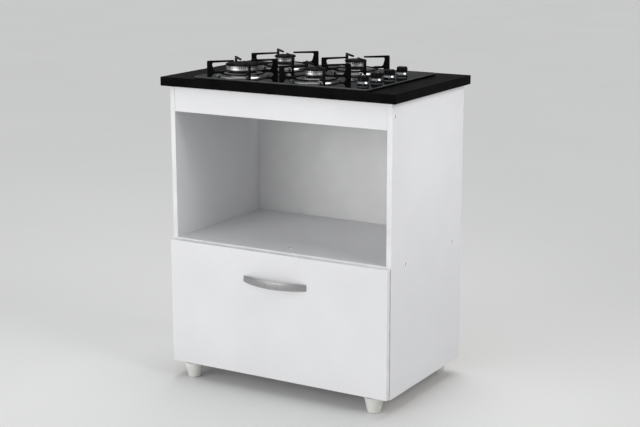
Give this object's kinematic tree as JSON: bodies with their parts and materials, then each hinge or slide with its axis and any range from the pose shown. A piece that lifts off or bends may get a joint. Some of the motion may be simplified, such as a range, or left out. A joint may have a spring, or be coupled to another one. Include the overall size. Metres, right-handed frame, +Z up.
{
  "type": "cooktop base cabinet",
  "caption": "White base cabinet on tapered feet with a black worktop, a gas cooktop, an open oven bay and one deep drawer with a bow handle.",
  "frame": {"origin": "on the floor under the middle of the cabinet's bounding box", "axes": "+X to the right seen from the front, +Y from the front to the back, +Z up"},
  "size_m": [0.736, 0.478, 0.921],
  "materials": {
    "white_board": "white melamine faced board, satin",
    "white_hardboard": "white faced hardboard, matte",
    "black_laminate": "black laminated board, satin",
    "zinc_steel": "zinc plated, satin",
    "beech": "bare beech",
    "white_plastic": "moulded, satin",
    "satin_steel": "satin nickel",
    "white_enamelled_steel": "powder coated, semi gloss",
    "black_glass": "tempered, gloss",
    "black_foam": "foam, matte",
    "polished_steel": "polished",
    "cast_aluminium": "die cast, satin",
    "black_enamel": "matte enamel",
    "white_ceramic": "glazed ceramic",
    "brass": "bare",
    "black_plastic": "satin"
  },
  "bodies": {
    "cabinet": {"left_side_panel": "white_board", "right_side_panel": "white_board", "bottom_panel": "white_board", "oven_shelf": "white_board", "shelf_batten": "white_board", "front_fascia": "white_board", "rear_top_rail": "white_board", "lower_back_panel": "white_hardboard", "upper_back_panel": "white_hardboard", "worktop": "black_laminate", "angle_brackets": "zinc_steel", "wood_screws": "zinc_steel", "panel_screws": "zinc_steel", "panel_dowels": "beech", "screw_caps": "white_plastic", "back_nails": "zinc_steel", "feet": "white_plastic", "left_cabinet_rail": "white_enamelled_steel", "right_cabinet_rail": "white_enamelled_steel", "cooktop_glass": "black_glass", "glass_seal": "black_foam", "burner_box": "zinc_steel", "cooktop_clamps": "zinc_steel", "drip_dishes": "polished_steel", "burner_cups": "cast_aluminium", "flame_spreaders": "cast_aluminium", "burner_caps": "black_enamel", "igniters": "white_ceramic", "gas_manifold": "brass", "gas_taps": "brass", "gas_pipes": "cast_aluminium"},
    "drawer": {"drawer_front": "white_board", "drawer_left_side": "white_board", "drawer_right_side": "white_board", "drawer_back": "white_board", "drawer_bottom": "white_hardboard", "drawer_brackets": "zinc_steel", "drawer_wood_screws": "zinc_steel", "handle": "satin_steel", "handle_screws": "zinc_steel", "left_drawer_rail": "white_enamelled_steel", "right_drawer_rail": "white_enamelled_steel"},
    "front_left_roller": {"front_left_roller": "white_plastic"},
    "front_right_roller": {"front_right_roller": "white_plastic"},
    "rear_left_roller": {"rear_left_roller": "white_plastic"},
    "rear_right_roller": {"rear_right_roller": "white_plastic"},
    "front_left_tap_plug": {"front_left_tap_plug": "brass"},
    "front_left_knob": {"front_left_knob": "black_plastic"},
    "front_left_pan_support": {"front_left_pan_support": "black_enamel"},
    "front_right_tap_plug": {"front_right_tap_plug": "brass"},
    "front_right_knob": {"front_right_knob": "black_plastic"},
    "front_right_pan_support": {"front_right_pan_support": "black_enamel"},
    "rear_left_tap_plug": {"rear_left_tap_plug": "brass"},
    "rear_left_knob": {"rear_left_knob": "black_plastic"},
    "rear_left_pan_support": {"rear_left_pan_support": "black_enamel"},
    "rear_right_tap_plug": {"rear_right_tap_plug": "brass"},
    "rear_right_knob": {"rear_right_knob": "black_plastic"},
    "rear_right_pan_support": {"rear_right_pan_support": "black_enamel"}
  },
  "joints": [
    {"name": "drawer_slide", "type": "slide", "parent": "cabinet", "child": "drawer", "axis": [0, -1, 0], "range_m": [0, 0.29]},
    {"name": "front_left_roller_spin", "type": "hinge", "parent": "cabinet", "child": "front_left_roller", "pos_m": [-0.32975, -0.176, 0.09335], "axis": [1, 0, 0], "range_deg": [-5, 1670]},
    {"name": "front_right_roller_spin", "type": "hinge", "parent": "cabinet", "child": "front_right_roller", "pos_m": [0.32975, -0.176, 0.09335], "axis": [1, 0, 0], "range_deg": [-5, 1670]},
    {"name": "rear_left_roller_spin", "type": "hinge", "parent": "drawer", "child": "rear_left_roller", "pos_m": [-0.32775, 0.186, 0.09335], "axis": [1, 0, 0], "range_deg": [-5, 1670]},
    {"name": "rear_right_roller_spin", "type": "hinge", "parent": "drawer", "child": "rear_right_roller", "pos_m": [0.32775, 0.186, 0.09335], "axis": [1, 0, 0], "range_deg": [-5, 1670]},
    {"name": "front_left_knob_turn", "type": "hinge", "parent": "cabinet", "child": "front_left_tap_plug", "pos_m": [0.228, -0.056, 0.856], "axis": [0, 0, 1], "range_deg": [0, 210]},
    {"name": "front_left_knob_push", "type": "slide", "parent": "front_left_tap_plug", "child": "front_left_knob", "axis": [0, 0, -1], "range_m": [0, 0.0025], "stiffness_N_per_m": 1500, "springref_m": -0.002},
    {"name": "front_left_support_lift", "type": "slide", "parent": "cabinet", "child": "front_left_pan_support", "axis": [0, 0, 1], "range_m": [0, 0.12]},
    {"name": "front_right_knob_turn", "type": "hinge", "parent": "cabinet", "child": "front_right_tap_plug", "pos_m": [0.228, -0.13, 0.856], "axis": [0, 0, 1], "range_deg": [0, 210]},
    {"name": "front_right_knob_push", "type": "slide", "parent": "front_right_tap_plug", "child": "front_right_knob", "axis": [0, 0, -1], "range_m": [0, 0.0025], "stiffness_N_per_m": 1500, "springref_m": -0.002},
    {"name": "front_right_support_lift", "type": "slide", "parent": "cabinet", "child": "front_right_pan_support", "axis": [0, 0, 1], "range_m": [0, 0.12]},
    {"name": "rear_left_knob_turn", "type": "hinge", "parent": "cabinet", "child": "rear_left_tap_plug", "pos_m": [0.228, 0.018, 0.856], "axis": [0, 0, 1], "range_deg": [0, 210]},
    {"name": "rear_left_knob_push", "type": "slide", "parent": "rear_left_tap_plug", "child": "rear_left_knob", "axis": [0, 0, -1], "range_m": [0, 0.0025], "stiffness_N_per_m": 1500, "springref_m": -0.002},
    {"name": "rear_left_support_lift", "type": "slide", "parent": "cabinet", "child": "rear_left_pan_support", "axis": [0, 0, 1], "range_m": [0, 0.12]},
    {"name": "rear_right_knob_turn", "type": "hinge", "parent": "cabinet", "child": "rear_right_tap_plug", "pos_m": [0.228, 0.092, 0.856], "axis": [0, 0, 1], "range_deg": [0, 210]},
    {"name": "rear_right_knob_push", "type": "slide", "parent": "rear_right_tap_plug", "child": "rear_right_knob", "axis": [0, 0, -1], "range_m": [0, 0.0025], "stiffness_N_per_m": 1500, "springref_m": -0.002},
    {"name": "rear_right_support_lift", "type": "slide", "parent": "cabinet", "child": "rear_right_pan_support", "axis": [0, 0, 1], "range_m": [0, 0.12]}
  ],
  "couplings": [
    {"joint": "front_left_roller_spin", "follows": "drawer_slide", "rad_per_m": 100},
    {"joint": "front_right_roller_spin", "follows": "drawer_slide", "rad_per_m": 100},
    {"joint": "rear_left_roller_spin", "follows": "drawer_slide", "rad_per_m": 100},
    {"joint": "rear_right_roller_spin", "follows": "drawer_slide", "rad_per_m": 100}
  ]
}
